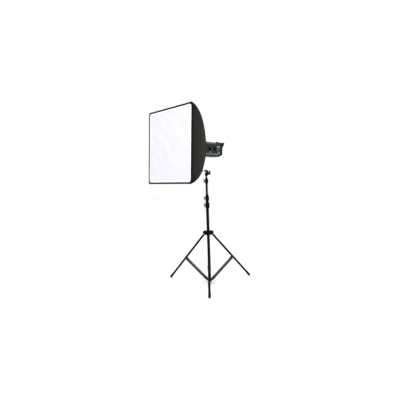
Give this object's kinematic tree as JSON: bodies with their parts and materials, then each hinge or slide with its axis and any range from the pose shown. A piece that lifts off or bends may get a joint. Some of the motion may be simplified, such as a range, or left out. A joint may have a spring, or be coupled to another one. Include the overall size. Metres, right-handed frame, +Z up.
{
  "type": "studio softbox",
  "caption": "Square softbox on a flash head, on a folding light stand with three legs, braces and telescoping clamped risers.",
  "frame": {"origin": "on the floor, under the middle of the whole object's box; the column stands at X 0.0454, Y -0.0163", "axes": "+Z up, -Y where the softbox faces, +X the side of the flash head that has the controls"},
  "size_m": [0.8571, 0.9532, 1.7356],
  "materials": {
    "black_tube": "black powder coat, satin",
    "black_steel": "black enamel, satin",
    "grey_alloy": "satin grey",
    "black_plastic": "moulded, fine texture",
    "steel": "zinc plated",
    "spring_steel": "drawn",
    "rubber": "matt",
    "black_fabric": "coated nylon, matt",
    "white_fabric": "thin translucent nylon",
    "grey_case": "moulded, satin",
    "black_cover": "moulded, fine texture",
    "pale_grey": "moulded",
    "display": "smoked window",
    "glass": "clear and frosted",
    "board": "solder mask",
    "can": "plain"
  },
  "bodies": {
    "base": {"base_tube": "black_tube", "lower_collar": "black_plastic", "riser_clamp_1": "black_plastic", "brace_pin_1": "steel", "brace_pin_2": "steel", "brace_pin_3": "steel"},
    "collar": {"upper_collar": "black_plastic", "leg_pin_1": "steel", "leg_pin_2": "steel", "leg_pin_3": "steel"},
    "collar_knob": {"collar_knob": "black_plastic"},
    "leg_1": {"leg_tube_1": "black_tube", "foot_1": "rubber"},
    "leg_2": {"leg_tube_2": "black_tube", "foot_2": "rubber"},
    "leg_3": {"leg_tube_3": "black_tube", "foot_3": "rubber"},
    "brace_1": {"brace_1": "grey_alloy"},
    "brace_2": {"brace_2": "grey_alloy"},
    "brace_3": {"brace_3": "grey_alloy"},
    "clamp_knob_1": {"clamp_knob_1": "black_plastic"},
    "clamp_knob_2": {"clamp_knob_2": "black_plastic"},
    "clamp_knob_3": {"clamp_knob_3": "black_plastic"},
    "riser_1": {"riser_1": "black_tube", "riser_clamp_2": "black_plastic"},
    "riser_2": {"riser_2": "black_tube", "riser_clamp_3": "black_plastic"},
    "riser_3": {"riser_3": "black_tube", "spigot": "steel"},
    "pan_socket": {"pan_socket": "black_plastic"},
    "socket_knob": {"socket_knob": "black_plastic"},
    "tilt_head": {"tilt_plate": "black_plastic", "bracket_bar": "black_steel", "bar_bolt": "steel", "ring_adapter": "black_steel", "light_housing": "grey_case", "rear_cover": "black_cover", "mains_inlet": "black_cover", "carry_handle": "black_cover", "modelling_lamp": "glass", "flash_tube": "glass", "capacitor": "can", "circuit_board": "board", "cooling_fan": "black_cover", "display_window": "display"},
    "tilt_handle": {"tilt_handle": "black_plastic"},
    "softbox": {"speedring": "grey_alloy", "rod_1": "spring_steel", "rod_2": "spring_steel", "rod_3": "spring_steel", "rod_4": "spring_steel", "softbox_shell": "black_fabric", "inner_baffle": "white_fabric", "front_diffuser": "white_fabric"},
    "dial_1": {"dial_1": "black_plastic"},
    "dial_2": {"dial_2": "black_plastic"},
    "switch_1": {"switch_1": "pale_grey"},
    "switch_2": {"switch_2": "pale_grey"},
    "test_button": {"test_button": "pale_grey"},
    "release_latch": {"release_latch": "black_plastic"}
  },
  "joints": [
    {"name": "collar_slide", "type": "slide", "parent": "base", "child": "collar", "axis": [0, 0, 1], "range_m": [0, 0.2175]},
    {"name": "collar_knob_turn", "type": "hinge", "parent": "collar", "child": "collar_knob", "pos_m": [0.0454, -0.0163, 0.515], "axis": [-0.7581, 0.6521, 0], "range_deg": [0, 540]},
    {"name": "leg_fold_1", "type": "hinge", "parent": "collar", "child": "leg_1", "pos_m": [0.07952, -0.04564, 0.507], "axis": [0.6521, 0.7581, 0], "range_deg": [0, 42]},
    {"name": "leg_fold_2", "type": "hinge", "parent": "collar", "child": "leg_2", "pos_m": [0.05375, 0.02792, 0.507], "axis": [-0.9826, 0.1857, 0], "range_deg": [0, 42]},
    {"name": "leg_fold_3", "type": "hinge", "parent": "collar", "child": "leg_3", "pos_m": [0.00293, -0.03117, 0.507], "axis": [0.3305, -0.9438, 0], "range_deg": [0, 42]},
    {"name": "brace_fold_1", "type": "hinge", "parent": "base", "child": "brace_1", "pos_m": [0.06814, -0.03586, 0.034], "axis": [-0.6521, -0.7581, 0], "range_deg": [0, 49.3]},
    {"name": "brace_fold_2", "type": "hinge", "parent": "base", "child": "brace_2", "pos_m": [0.05097, 0.01318, 0.034], "axis": [0.9826, -0.1857, 0], "range_deg": [0, 49.3]},
    {"name": "brace_fold_3", "type": "hinge", "parent": "base", "child": "brace_3", "pos_m": [0.01709, -0.02622, 0.034], "axis": [-0.3305, 0.9438, 0], "range_deg": [0, 49.3]},
    {"name": "clamp_knob_1_turn", "type": "hinge", "parent": "base", "child": "clamp_knob_1", "pos_m": [0.0454, -0.0163, 0.8], "axis": [-0.6401, -0.7683, 0], "range_deg": [0, 540]},
    {"name": "clamp_knob_2_turn", "type": "hinge", "parent": "riser_1", "child": "clamp_knob_2", "pos_m": [0.0454, -0.0163, 0.871], "axis": [-0.6401, -0.7683, 0], "range_deg": [0, 540]},
    {"name": "clamp_knob_3_turn", "type": "hinge", "parent": "riser_2", "child": "clamp_knob_3", "pos_m": [0.0454, -0.0163, 1.045], "axis": [-0.6401, -0.7683, 0], "range_deg": [0, 540]},
    {"name": "riser_1_slide", "type": "slide", "parent": "base", "child": "riser_1", "axis": [0, 0, 1], "range_m": [0, 0.5]},
    {"name": "riser_2_slide", "type": "slide", "parent": "riser_1", "child": "riser_2", "axis": [0, 0, 1], "range_m": [-0.11, 0.42]},
    {"name": "riser_3_slide", "type": "slide", "parent": "riser_2", "child": "riser_3", "axis": [0, 0, 1], "range_m": [0, 0.45]},
    {"name": "head_pan", "type": "hinge", "parent": "riser_3", "child": "pan_socket", "pos_m": [0.0454, -0.0163, 1.0933], "axis": [0, 0, 1], "continuous": true},
    {"name": "socket_knob_turn", "type": "hinge", "parent": "pan_socket", "child": "socket_knob", "pos_m": [0.0454, -0.0163, 1.1055], "axis": [-0.7581, 0.6521, 0], "range_deg": [0, 540]},
    {"name": "head_tilt", "type": "hinge", "parent": "pan_socket", "child": "tilt_head", "pos_m": [0.0454, -0.0163, 1.115], "axis": [1, 0, 0], "range_deg": [-45, 50]},
    {"name": "tilt_handle_turn", "type": "hinge", "parent": "tilt_head", "child": "tilt_handle", "pos_m": [0.0454, -0.0163, 1.115], "axis": [1, 0, 0], "range_deg": [-90, 180]},
    {"name": "softbox_turn", "type": "hinge", "parent": "tilt_head", "child": "softbox", "pos_m": [0.0454, -0.09689, 1.3654], "axis": [0, -0.9983, 0.0581], "continuous": true},
    {"name": "dial_1_turn", "type": "hinge", "parent": "tilt_head", "child": "dial_1", "pos_m": [0.1007, -0.00182, 1.36388], "axis": [1, 0, 0], "range_deg": [-135, 135]},
    {"name": "dial_2_turn", "type": "hinge", "parent": "tilt_head", "child": "dial_2", "pos_m": [0.1007, 0.06518, 1.36198], "axis": [1, 0, 0], "range_deg": [-135, 135]},
    {"name": "switch_1_rock", "type": "hinge", "parent": "tilt_head", "child": "switch_1", "pos_m": [0.0984, 0.10748, 1.38306], "axis": [0, -0.0581, -0.9983], "range_deg": [0, 8]},
    {"name": "switch_2_rock", "type": "hinge", "parent": "tilt_head", "child": "switch_2", "pos_m": [0.0984, 0.11139, 1.32123], "axis": [0, -0.0581, -0.9983], "range_deg": [0, 8]},
    {"name": "test_button_press", "type": "slide", "parent": "tilt_head", "child": "test_button", "axis": [-1, 0, 0], "range_m": [0, 0.0015], "stiffness_N_per_m": 400, "springref_m": -0.0005},
    {"name": "latch_slide", "type": "slide", "parent": "tilt_head", "child": "release_latch", "axis": [0, 0.9983, -0.0581], "range_m": [0, 0.008], "stiffness_N_per_m": 300, "springref_m": -0.001}
  ],
  "couplings": [
    {"joint": "leg_fold_1", "follows": "collar_slide", "rad_per_m": 3.3638},
    {"joint": "leg_fold_2", "follows": "collar_slide", "rad_per_m": 3.3638},
    {"joint": "leg_fold_3", "follows": "collar_slide", "rad_per_m": 3.3638},
    {"joint": "brace_fold_1", "follows": "collar_slide", "rad_per_m": 3.9434},
    {"joint": "brace_fold_2", "follows": "collar_slide", "rad_per_m": 3.9434},
    {"joint": "brace_fold_3", "follows": "collar_slide", "rad_per_m": 3.9434}
  ]
}
